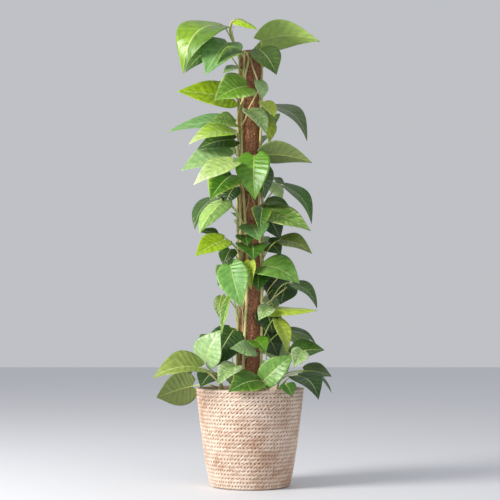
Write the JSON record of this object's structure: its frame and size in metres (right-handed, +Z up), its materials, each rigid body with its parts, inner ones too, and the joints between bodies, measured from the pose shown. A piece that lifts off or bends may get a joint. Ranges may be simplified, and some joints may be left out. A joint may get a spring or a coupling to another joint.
{
  "type": "potted golden pothos",
  "caption": "Golden pothos with variegated heart-shaped leaves climbing a coir pole, potted in a nursery pot inside a round seagrass rope basket.",
  "frame": {"origin": "centre of the basket's underside, where it stands on the floor", "axes": "+Z up along the pole, +X to the right and +Y away from the viewer in the picture"},
  "size_m": [0.4034, 0.3465, 1.0864],
  "materials": {
    "seagrass": "stitched rows of twisted dried seagrass, matt straw to tan",
    "liner_film": "thin dark film",
    "nursery_plastic": "thin black grower's pot",
    "compost": "damp dark peat-free compost, rough",
    "stake_wood": "plain sawn softwood",
    "coir": "red-brown coconut fibre, rough and matt",
    "pothos_green": "waxy leaf, semi-gloss green with cream and lime variegation"
  },
  "bodies": {
    "root": {"basket": "seagrass", "liner": "liner_film", "nursery_pot": "nursery_plastic", "compost": "compost", "pole_stake": "stake_wood", "pole_coir": "coir", "vine_left": "pothos_green", "vine_front": "pothos_green", "vine_right": "pothos_green", "vine_rear_left": "pothos_green", "vine_rear_right": "pothos_green", "vine_rear": "pothos_green", "shoot_left": "pothos_green", "shoot_front": "pothos_green", "shoot_right": "pothos_green", "shoot_rear_left": "pothos_green", "shoot_rear_right": "pothos_green"}
  },
  "joints": []
}
